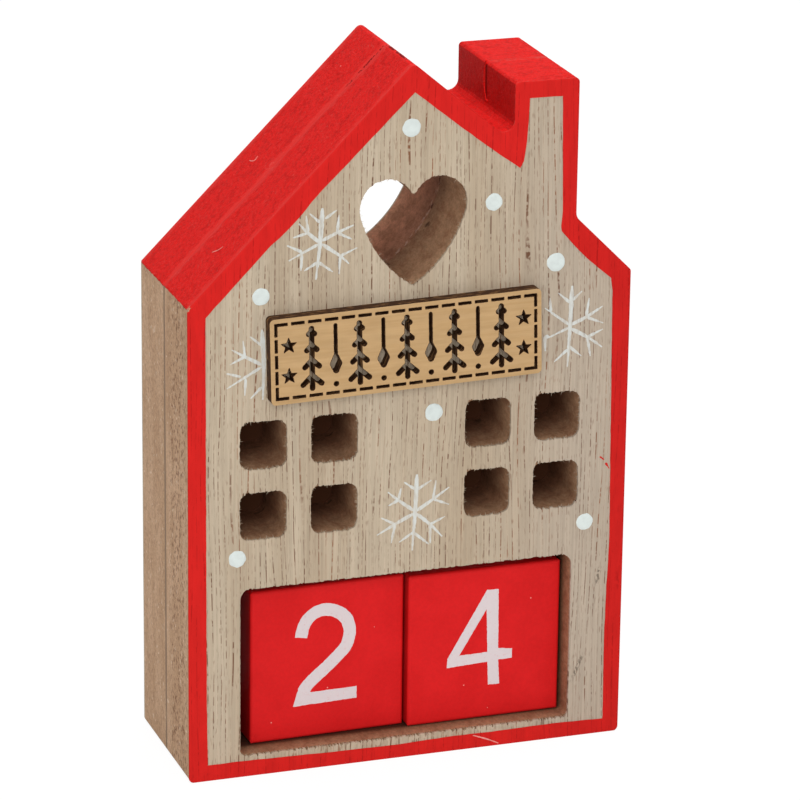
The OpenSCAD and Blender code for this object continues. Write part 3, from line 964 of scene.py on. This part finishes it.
def newTree(name, floats):
    tree = bpy.data.node_groups.new(name, "GeometryNodeTree")
    tree.interface.new_socket("Geometry", in_out="INPUT", socket_type="NodeSocketGeometry")
    for label in floats:
        tree.interface.new_socket(label, in_out="INPUT", socket_type="NodeSocketFloat")
    tree.interface.new_socket("Paint", in_out="INPUT", socket_type="NodeSocketMaterial")
    tree.interface.new_socket("Geometry", in_out="OUTPUT", socket_type="NodeSocketGeometry")
    return tree, addNode(tree, "NodeGroupInput").outputs


# White dots: paint dabbed on with the end of a stick, repeated by a node tree
dots = {
    "radius": 2.0 * mm,
    "height": 0.16 * mm,
    "ragged": 0.12 * mm,
    "raggedScale": 700.0,      # cells of the ragged rim per metre
    "spread": 0.05,            # how much the sizes differ
    "steps": [(0.6, 0.95), (0.4, 0.8)],    # shares of the height, and how far each draws in
    "places": [(-0.7, 144.2), (18.1, 126.3), (32.6, 111.6), (-33.9, 109.8), (5.2, 80.1),
               (40.8, 51.0), (-39.2, 51.1)],
}


def dotTree():
    tree, given = newTree("dabbed_dots", ("Radius", "Height", "Ragged", "Spread"))
    disc = addNode(tree, "GeometryNodeMeshCircle", {
        "Vertices": 40, "Radius": given["Radius"]}, fill_type="NGON").outputs["Mesh"]
    shape = disc
    top = True
    for share, shrink in dots["steps"]:
        height = addNode(tree, "ShaderNodeMath", {0: given["Height"], 1: share},
                         operation="MULTIPLY")
        raised = addNode(tree, "GeometryNodeExtrudeMesh", {
            "Mesh": shape, "Selection": top, "Offset Scale": height.outputs[0]})
        top = raised.outputs["Top"]
        shape = addNode(tree, "GeometryNodeScaleElements", {
            "Geometry": raised.outputs["Mesh"], "Selection": top, "Scale": shrink}).outputs[0]
    foot = addNode(tree, "GeometryNodeFlipFaces", {"Mesh": disc})
    dab = addNode(tree, "GeometryNodeJoinGeometry", {"Geometry": shape})
    tree.links.new(foot.outputs[0], dab.inputs["Geometry"])
    closed = addNode(tree, "GeometryNodeMergeByDistance", {
        "Geometry": dab.outputs[0], "Distance": 2 * mergeGap})
    small, large = [addNode(tree, "ShaderNodeMath", {0: 1.0, 1: given["Spread"]},
                            operation=kind).outputs[0] for kind in ("SUBTRACT", "ADD")]
    size = addNode(tree, "FunctionNodeRandomValue", {
        "Min": small, "Max": large, "Seed": 4}, data_type="FLOAT")
    copies = addNode(tree, "GeometryNodeInstanceOnPoints", {
        "Points": given["Geometry"], "Instance": closed.outputs[0],
        "Rotation": (math.pi / 2, 0, 0), "Scale": size.outputs[1]})
    real = addNode(tree, "GeometryNodeRealizeInstances", {"Geometry": copies.outputs[0]})
    jitter = addNode(tree, "ShaderNodeTexNoise", {
        "Scale": dots["raggedScale"], "Detail": 2.0})
    centred = addNode(tree, "ShaderNodeVectorMath", {
        0: jitter.outputs["Color"], 1: (0.5, 0.5, 0.5)}, operation="SUBTRACT")
    # The noise strays from its middle by about a quarter, so it is stretched to the full range
    flat = addNode(tree, "ShaderNodeVectorMath", {
        0: centred.outputs[0], 1: (4, 0, 4)}, operation="MULTIPLY")
    shift = addNode(tree, "ShaderNodeVectorMath", {
        0: flat.outputs[0], "Scale": given["Ragged"]}, operation="SCALE")
    uneven = addNode(tree, "GeometryNodeSetPosition", {
        "Geometry": real.outputs[0], "Offset": shift.outputs[0]})
    painted = addNode(tree, "GeometryNodeSetMaterial", {
        "Geometry": uneven.outputs[0], "Material": given["Paint"]})
    addNode(tree, "NodeGroupOutput", {0: painted.outputs[0]})
    return tree


dabs = dotTree()
runTree("white_dots", dabs, seedPoints("dot_places", [
    (x * mm, frontY, z * mm) for x, z in dots["places"]]), {
    "Radius": dots["radius"], "Height": dots["height"], "Ragged": dots["ragged"],
    "Spread": dots["spread"], "Paint": dotPaint}, "house")
print("dots dabbed on")


# Strand: a round thread along a path, which swells or thins towards its end
def strandTree():
    tree, given = newTree("strand", ("Width", "Swell"))
    curve = addNode(tree, "GeometryNodeMeshToCurve", {"Mesh": given["Geometry"]})
    along = addNode(tree, "GeometryNodeSplineParameter").outputs["Factor"]
    swell = addNode(tree, "ShaderNodeMapRange", {
        "Value": along, "From Min": 0.4, "To Min": 1.0, "To Max": given["Swell"]})
    radius = addNode(tree, "ShaderNodeMath", {0: swell.outputs[0], 1: given["Width"]},
                     operation="MULTIPLY")
    ring = addNode(tree, "GeometryNodeCurvePrimitiveCircle", {"Resolution": 8, "Radius": 1.0})
    tube = addNode(tree, "GeometryNodeCurveToMesh", {
        "Curve": curve.outputs[0], "Profile Curve": ring.outputs["Curve"],
        "Scale": radius.outputs[0], "Fill Caps": True})
    real = addNode(tree, "GeometryNodeRealizeInstances", {"Geometry": tube.outputs[0]})
    painted = addNode(tree, "GeometryNodeSetMaterial", {
        "Geometry": real.outputs[0], "Material": given["Paint"]})
    addNode(tree, "NodeGroupOutput", {0: painted.outputs[0]})
    return tree


strand = strandTree()


# One piece of strands, each along its own line of points
def runStrands(name, lines, width, swell, paint):
    places = []
    ties = []
    for line in lines:
        ties += [(len(places) + k, len(places) + k + 1) for k in range(len(line) - 1)]
        places += line
    runTree(name, strand, seedPoints(name + "_paths", places, ties), {
        "Width": width, "Swell": swell, "Paint": paint}, "house")


# Lifted fibres: splinters of the veneer that stand into the windows and the heart
fuzz = {
    "width": 0.045 * mm,
    "thin": 0.3,
    "length": (0.25, 0.85),     # mm, shortest and longest
    "root": 0.1 * mm,           # how far each one starts inside the wood
    "depth": (0.08, 0.3),       # mm below the face, and how much deeper the deepest ones start
    "spread": 0.9,              # how far they lean from straight into the opening
    "share": 0.45,              # part of the edge's points that carry one
    "fewer": 0.35,              # times as many at the top and the left of an opening
    "seed": 31,
}


def liftFibres():
    draws = random.Random(fuzz["seed"])
    shortest, longest = fuzz["length"]
    depth, deeper = fuzz["depth"]
    lines = []
    for loop in tornLoops:
        if isBay(loop):
            continue
        for (x, z), n in zip(loop, outwardNormals(loop)):
            share = fuzz["share"] * (1 if n.y < 0.3 and n.x > -0.6 else fuzz["fewer"])
            chance, long, lean, deep, bend = [draws.random() for k in range(5)]
            if chance > share:
                continue
            inward = Vector((-n.x, -n.y)) + fuzz["spread"] * (lean - 0.5) * Vector((-n.y, n.x))
            inward.normalize()
            reach = mm * (shortest + (longest - shortest) * long ** 3) + fuzz["root"]
            y = frontY + (depth + deeper * deep) * mm
            root = Vector((x + fuzz["root"] * n.x, y, z + fuzz["root"] * n.y))
            lines.append([root + share * reach * Vector((
                inward.x, 0.5 * share * (bend - 0.5), inward.y)) for share in (0, 0.5, 1)])
    runStrands("lifted_fibres", lines, fuzz["width"], fuzz["thin"], veneerMaterial)
    print("fibres lifted:", len(lines))


liftFibres()


# Paint run: red paint that crept down the seam on the chimney's left wall and dried in a hook
drip = {
    "width": 0.17 * mm,
    "swell": 1.7,              # the end is this many times as thick
    # From the chimney's top to the hook: y and z in mm on the wall
    "path": [(0.2, 152.5), (1.2, 150.8), (1.5, 149), (1.3, 147), (0.7, 145.3), (0, 143.9),
             (-0.8, 143.7), (-1.3, 144.1)],
}


chimneyLeft = min(x for x, z in outline if z > 150 * mm and x > 10 * mm)
dripLine = [(chimneyLeft - border["thickness"], y * mm, z * mm)
            for y, z in smoothLine(drip["path"], 4)]
runStrands("chimney_paint_run", [dripLine], drip["width"], drip["swell"], brushedRed)
print("paint run on the chimney, wall at", round(chimneyLeft / mm, 2))


# Hairs of the brush that stuck in the paint of the roof, as y and z in mm
hairs = {
    "width": 0.09 * mm,
    "thin": 0.6,
    "paths": [[(11.3, 131.0), (10.1, 131.2), (9.4, 131.6), (9.7, 132.3)],
              [(9.8, 150.9), (9.7, 151.1)],
              [(-7.4, 117.0), (-8.8, 117.8), (-9.6, 118.7)]],
}


def roofX(z):
    crossings = [ax + (z - az) * (bx - ax) / (bz - az)
                 for (ax, az), (bx, bz) in zip(outline, outline[1:] + outline[:1])
                 if (az > z) != (bz > z)]
    return min(crossings)


def onRoof(y, z):
    return (roofX(z) - border["thickness"], y, z + border["thickness"])


runStrands("brush_hairs", [[onRoof(y * mm, z * mm) for y, z in smoothLine(path, 4)]
                           for path in hairs["paths"]],
           hairs["width"], hairs["thin"], fleckPaint)
print("brush hairs stuck in the paint")


# Scorched lips: the laser charred the face of the plaque along each cut
scorched = {
    "width": 0.1 * mm,
    "ragged": 0.05 * mm,
    "raggedRun": 0.4 * mm,
    "height": 0.012 * mm,
    "spacing": 0.16 * mm,
    "neighbours": 8,            # how many points to each side a point must keep clear of
    "clear": 0.88,              # by this share of its own reach
}


def scorchLips():
    mesh = bmesh.new()
    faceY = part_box("plaque")[0].y
    far = scorched["neighbours"]

    def onPlaque(x, z, height):
        return (x, faceY - height, z)

    for loop in faceLoops("plaque")[1:]:
        lip = resample(counterClockwise(loop), scorched["spacing"], closed=True)
        outer = []
        for i, ((x, z), n) in enumerate(zip(lip, outwardNormals(lip))):
            wander = noise.noise(Vector((x, 8.4 * mm, z)) / scorched["raggedRun"])
            reach = scorched["width"] + scorched["ragged"] * wander
            spot = (x + n.x * reach, z + n.y * reach)
            # In a hollow corner the lip would cross itself, so points too near it are left out
            near = min(math.dist(spot, lip[(i + k) % len(lip)]) for k in range(-far, far + 1))
            if near > scorched["clear"] * reach:
                outer.append(spot)
        addFilm(mesh, [outer], onPlaque, scorched["height"], holes=[lip])
    newPiece("scorched_lips", mesh, charMaterial, "house")


scorchLips()
print("cuts of the plaque scorched")


# Stroke of a fine brush, thick where it starts and thin where it lifts
brush = {
    "spacing": 0.3 * mm,
    "ragged": 0.12 * mm,
    "raggedRun": 0.6 * mm,
    "thinnest": 0.1 * mm,      # half the width of its thinnest part
    "start": 0.4,              # shares of the width at its start and its end
    "end": 0.3,
    "press": 5,                # how fast it widens as the brush is pressed down
}


def strokeShape(points, width, seed):
    line = resample(smoothLine(points, 4), brush["spacing"])
    halves = []
    for i, (x, z) in enumerate(line):
        share = i / (len(line) - 1)
        body = min(1, brush["start"] + share * brush["press"])
        body *= 1 - (1 - brush["end"]) * share ** 2
        uneven = noise.noise(Vector((x, seed * mm, z)) / brush["raggedRun"])
        halves.append(max(width * body / 2 + brush["ragged"] * uneven, brush["thinnest"]))
    return stripLoop(line, halves)


# Snowflakes: quick strokes. Each flake is its middle, and strokes of points in mm about it.
snowflakes = {
    "height": 0.04 * mm,
    "spine": 1.05,             # mm, the long upright stroke
    "arm": 0.85,
    "twig": 0.66,
    "flakes": [
        ((-20.9, 120.8), [
            [(0.5, 7.4), (0, -0.4), (-0.9, -8.3)], [(0, 4.2), (-2.3, 6.4)], [(1.1, 5), (3.7, 6.7)],
            [(0, -0.2), (-2.7, 2.2), (-4.7, 4.4)], [(-2.7, 2.2), (-3.1, 6)],
            [(-2.7, 2.2), (-6, 1.4)], [(0.4, 0.2), (3.8, 1.7), (7.5, 3.1)],
            [(3.8, 1.7), (4.2, 5.6)], [(3.8, 1.7), (7.1, 0)], [(-0.2, -0.4), (-6.9, -3.6)],
            [(-4, -1.9), (-7.3, -0.2)], [(-4, -2.3), (-4.2, -6)],
            [(0.4, -0.5), (4.5, -3.5), (6.5, -5.4)], [(4.5, -3.5), (8.3, -2)],
            [(4.5, -3.5), (4.3, -7.5)], [(-0.4, -4.4), (-3.5, -6.1)], [(-0.4, -4.4), (2.9, -6.9)]]),
        ((-33.5, 94.4), [
            [(-0.2, 8.1), (0.2, 0), (0, -7.6)], [(-0.2, 4.5), (-2.9, 6.8)],
            [(0.2, 0), (-4, 2.4), (-6.9, 4.2)], [(-4, 2.4), (-4.4, 6)], [(-4, 2.4), (-7.3, 0.9)],
            [(-0.2, -0.2), (-8, -4.4)], [(-4.9, -2), (-8, -1)], [(-3.8, -2.5), (-4, -6.3)],
            [(-0.2, -4.7), (-2.7, -7.1)]]),
        ((36.0, 96.6), [
            [(0.5, 9.3), (0.2, 0), (-0.2, -9.1)], [(0.1, 5.5), (-2.7, 8)], [(0.3, 5.7), (2.8, 7.9)],
            [(0.2, 0.4), (3.9, 1.9), (7.8, 4.1)], [(3.9, 1.9), (4.5, 6.2)], [(3.9, 1.9), (7.9, 0.2)],
            [(0, 0.5), (-5.7, 4.8)], [(-4.3, 3.8), (-4.6, 7)], [(-0.2, -0.2), (-4.4, -1.9)],
            [(-4.4, -1.9), (-5.5, -2), (-5.4, -5)], [(0.2, -0.3), (4.3, -2.7), (7.8, -5.3)],
            [(4.3, -2.7), (7.9, -1.2)], [(4.3, -2.7), (5.1, -7.1)], [(-0.1, -5), (-3.3, -7.7)],
            [(-0.1, -4.3), (3, -6.9)]]),
        ((1.2, 57.5), [
            [(0.3, 8.7), (0, 0), (-0.6, -8.8)], [(0.2, 5.1), (-2.6, 7.2)], [(0.2, 5.1), (3.6, 7)],
            [(-0.2, 0.3), (-3.9, 3.2), (-6.3, 5.3)], [(-3.9, 3.2), (-3.3, 5.9)],
            [(-3.9, 3.2), (-6.2, 2.1)], [(0.2, 0.2), (4.1, 2.6), (7.8, 5)],
            [(4.1, 2.6), (4.7, 6.9)], [(4.1, 2.6), (7.8, 1)], [(-0.2, -0.2), (-4.6, -2.3), (-8.7, -4.4)],
            [(-4.6, -2.3), (-7.8, -0.5)], [(-4.6, -2.3), (-5.4, -6.6)],
            [(0.2, -0.3), (3.5, -3.2), (6.3, -6.3)], [(3.5, -3.2), (6.9, -1.7)],
            [(3.5, -3.2), (3.6, -7.6)], [(-0.4, -4.6), (-3.6, -6.6)], [(-0.4, -4.6), (3.3, -7.8)]]),
    ],
}


def paintSnowflakes():
    mesh = bmesh.new()
    for (midX, midZ), strokes in snowflakes["flakes"]:
        shapes = []
        for i, stroke in enumerate(strokes):
            kind = "spine" if i == 0 else ("arm" if len(stroke) > 2 else "twig")
            points = [((midX + x) * mm, (midZ + z) * mm) for x, z in stroke]
            shapes.append(strokeShape(points, snowflakes[kind] * mm, i + midX))
        addFilm(mesh, shapes, onFront, snowflakes["height"])
    newPiece("painted_snowflakes", mesh, flakePaint, "house")


paintSnowflakes()
print("snowflakes brushed on")


# Slips: two red ticks beside the right border and a pale scratch across the lower one
slips = {
    "ticks": [[(44.0, 65.9), (45.0, 65.1)], [(45.4, 64.3), (46.3, 62.9)]],
    "scratch": [[(15.5, 3.1), (18.6, 1.9), (21.5, 0.5)]],
    "height": 0.03 * mm,
    "tickWidth": 0.5 * mm,
    "scratchWidth": 0.32 * mm,
}


def addSlips(name, lines, width, rest, material):
    mesh = bmesh.new()
    shapes = [strokeShape([(x * mm, z * mm) for x, z in line], width, 7) for line in lines]
    addFilm(mesh, shapes, lambda x, z, height: onFront(x, z, rest + height), slips["height"])
    newPiece(name, mesh, material, "house")


addSlips("red_slips", slips["ticks"], slips["tickWidth"], 0, brushedRed)
addSlips("border_scratch", slips["scratch"], slips["scratchWidth"], border["thickness"],
         fleckPaint)
print("slips of the brush added")


# Number blocks: stamped numerals on all six sides of each cube, drawn about a face's middle
numerals = {
    "height": 0.03 * mm,
    "stroke": 2.9,             # mm, as the sizes below
    "ragged": 0.1,
    "raggedRun": 0.6,
    "strokeSpacing": 0.5,
    "spacing": 0.4,
    # How far the stamp sits to the right of and above the middle of a face, in mm
    "left": (-0.45, 1.47),
    "right": (-0.37, 1.36),
}


def arcPoints(x, z, rx, rz, start, end, steps=28):
    angles = [math.radians(start + (end - start) * k / steps) for k in range(steps + 1)]
    return [(x + rx * math.cos(a), z + rz * math.sin(a)) for a in angles]


# Each numeral is strokes, rings (x, z, rx, rz), solid shapes and holes, in mm
digitForms = {
    "0": {"rings": [(0, 0, 5.9, 10.05)]},
    "1": {"strokes": [[(-3.9, 6.6), (1.3, 10.2)], [(1.2, 11.5), (1.2, -11.5)]]},
    "2": {"strokes": [smoothLine([
        (-5.7, 4.4), (-5.3, 6.5), (-4.2, 8.6), (-2.55, 9.9), (-0.55, 10.4), (1.45, 10.1),
        (3.45, 9.05), (4.95, 7.35), (5.6, 4.7), (5.15, 2.2), (4.25, 0.6), (2.55, -1.1),
        (0.3, -3.15), (-2.2, -5.15), (-4.4, -7.2), (-5.1, -8.3)], 3)],
        "solids": [[(-7.55, -11.7), (7.3, -11.45), (7.35, -8.7), (-3.45, -8.75), (-4.6, -6.9),
                    (-6.25, -7.6), (-6.8, -9.3)]]},
    "3": {"strokes": [arcPoints(-0.3, 5.1, 5.0, 4.95, 165, -90),
                      arcPoints(-0.3, -4.7, 5.9, 5.3, 90, -165)]},
    "4": {"solids": [[(0.9, 11.3), (3.6, 11.2), (3.75, -2.9), (7.1, -3.4), (7.0, -5.65),
                      (3.8, -5.7), (4.15, -11.5), (1.5, -11.4), (1.25, -5.85), (-8.35, -6.3),
                      (-8.2, -4.1)]],
          "holes": [[(-5.45, -3.65), (1.2, -3.55), (0.85, 6.75)]]},
    "5": {"strokes": [[(-4.5, 10.1), (5.2, 10.1)], [(-4.5, 11.3), (-5.1, 0.2)],
                      arcPoints(-0.2, -3.5, 6.0, 6.5, 145, -160)]},
    "6": {"strokes": [[(3.6, 10.6), (-1.2, 5.6), (-4.6, 0.4), (-5.9, -4.3)]],
          "rings": [(0, -4.5, 5.9, 5.6)]},
    "7": {"strokes": [[(-6.9, 10.1), (6.2, 10.1)], [(6.0, 10.1), (1.2, 1.0), (-2.6, -11.5)]]},
    "8": {"rings": [(0, 5.4, 4.9, 4.65), (0, -4.6, 5.9, 5.45)]},
}


def numeralLoops(digit, seed):
    form = digitForms[digit]
    half = numerals["stroke"] / 2
    shapes = list(form.get("solids", []))
    holes = list(form.get("holes", []))
    for stroke in form.get("strokes", []):
        line = resample(stroke, numerals["strokeSpacing"])
        shapes.append(stripLoop(line, [half] * len(line)))
    for x, z, rx, rz in form.get("rings", []):
        shapes.append(arcPoints(x, z, rx + half, rz + half, 0, 360, 48)[:-1])
        holes.append(arcPoints(x, z, rx - half, rz - half, 0, 360, 48)[:-1])
    out = []
    for loops in (shapes, holes):
        loops = [wobbled(resample(loop, numerals["spacing"], closed=True),
                         numerals["ragged"], numerals["raggedRun"], seed) for loop in loops]
        out.append([[(x * mm, z * mm) for x, z in loop] for loop in loops])
    return out


def stampBlock(side, digits):
    nodeName = "number_block_" + side
    aside, lift = numerals[side]
    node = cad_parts[nodeName]
    low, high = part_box(nodeName)
    centre = (low + high) / 2
    faces = sorted(node.data.polygons, key=lambda p: (round(p.normal.y, 3), -p.area))
    front = faces[0].normal.normalized()
    half = (high.z - low.z) / 2
    sideways = Vector((-front.y, front.x, 0))
    top = Vector((0, 0, 1))
    # A face is its outward normal, its right-hand direction and its up direction
    views = [(front, sideways, top), (sideways, -front, top), (-front, -sideways, top),
             (-sideways, front, top), (top, sideways, -front), (-top, sideways, front)]
    mesh = bmesh.new()
    for seed, (digit, (outward, across, upward)) in enumerate(zip(digits, views)):
        def place(x, z, height):
            return (centre + outward * (half + height) + across * (x + aside * mm)
                    + upward * (z + lift * mm))
        shapes, holes = numeralLoops(digit, seed + 0.5)
        addFilm(mesh, shapes, place, numerals["height"], holes=holes)
    newPiece(side + "_numerals", mesh, numeralPaint, side + "_block")

    # Place on the front face, of an x and z in mm about its middle
    def onBlock(x, z):
        return centre + front * half + sideways * x * mm + top * z * mm
    return onBlock


onLeftBlock = stampBlock("left", "206718")
onRightBlock = stampBlock("right", "453021")
print("numerals stamped")


# Specks: pale dust that dried into the paint of the blocks' fronts
specks = {
    "radius": 0.13 * mm,
    "height": 0.04 * mm,
    "ragged": 0.05 * mm,
    "spread": 0.3,
    "left": [(0.05, -6.7), (10.9, 6.3), (-13.0, -13.3)],
    "right": [(-4.6, -9.5), (1.1, -15.6), (10.9, 9.5)],
}
for side, onBlock in (("left", onLeftBlock), ("right", onRightBlock)):
    runTree(side + "_specks", dabs, seedPoints("specks", [
        onBlock(x, z) for x, z in specks[side]]), {
        "Radius": specks["radius"], "Height": specks["height"], "Ragged": specks["ragged"],
        "Spread": specks["spread"], "Paint": fleckPaint}, side + "_block")
print("specks added")


# Studio: pale floor that shows white, a wide lamp in front, another overhead and a pale sky
studio = {
    "floor": "#E9E9E7",
    "roughness": 0.9,
    "gloss": 0.2,
    "glow": 1.06,              # makes the floor white to the camera
    "glowShare": 0.88,         # the rest of it is lit, and keeps the object's shadow
    "floorSize": 4,            # m, half its width
    "sky": 0.42,
    # A lamp is its place, what it aims at, its width in metres and its power in watts
    "front": ((-0.43, -1.45, 0.72), (0, 0, 0.08), 1.15, 15.4),
    "overhead": ((0.15, 0.1, 1.6), (0, 0, 0.08), 1.1, 12.0),
}


# Full for rays that reach the camera straight, by a reflection or through glass
def seenDirectly(tree):
    paths = addNode(tree, "ShaderNodeLightPath").outputs
    seen = paths["Is Camera Ray"]
    for kind in ("Is Glossy Ray", "Is Transmission Ray"):
        seen = addNode(tree, "ShaderNodeMath", {0: seen, 1: paths[kind]},
                       operation="MAXIMUM").outputs[0]
    return seen


def floorSurface(tree):
    return linearColour(studio["floor"]), None


def makeFloor():
    material = makeMaterial("pale_floor", studio, floorSurface)
    tree = material.node_tree
    output = [n for n in tree.nodes if n.type == "OUTPUT_MATERIAL"][0]
    lit = output.inputs["Surface"].links[0].from_socket
    glow = addNode(tree, "ShaderNodeEmission", {
        "Color": (1, 1, 1, 1), "Strength": studio["glow"]})
    mixed = addNode(tree, "ShaderNodeMixShader", {
        0: product(tree, seenDirectly(tree), studio["glowShare"]), 1: lit, 2: glow.outputs[0]})
    tree.links.new(mixed.outputs[0], output.inputs["Surface"])
    mesh = bmesh.new()
    bmesh.ops.create_grid(mesh, x_segments=1, y_segments=1, size=studio["floorSize"])
    data = bpy.data.meshes.new("floor")
    mesh.to_mesh(data)
    mesh.free()
    floor = bpy.data.objects.new("floor", data)
    floor.data.materials.append(material)
    scene.collection.objects.link(floor)


def makeLights():
    world = bpy.data.worlds.new("studio_sky")
    scene.world = world
    world.use_nodes = True
    tree = world.node_tree
    tree.nodes.clear()
    strength = addNode(tree, "ShaderNodeMapRange", {
        "Value": seenDirectly(tree), "To Min": studio["sky"], "To Max": 1.0})
    sky = addNode(tree, "ShaderNodeBackground", {
        "Color": (1, 1, 1, 1), "Strength": strength.outputs[0]})
    addNode(tree, "ShaderNodeOutputWorld", {"Surface": sky.outputs[0]})
    for name in ("front", "overhead"):
        place, aim, width, power = studio[name]
        lamp = bpy.data.lights.new(name, "AREA")
        lamp.energy = power
        lamp.size = width
        holder = bpy.data.objects.new(name, lamp)
        scene.collection.objects.link(holder)
        toAim = Vector(aim) - Vector(place)
        holder.matrix_world = (Matrix.Translation(place)
                               @ toAim.to_track_quat("-Z", "Y").to_matrix().to_4x4())


makeFloor()
makeLights()
scene.view_settings.view_transform = "Standard"
print("studio lit")
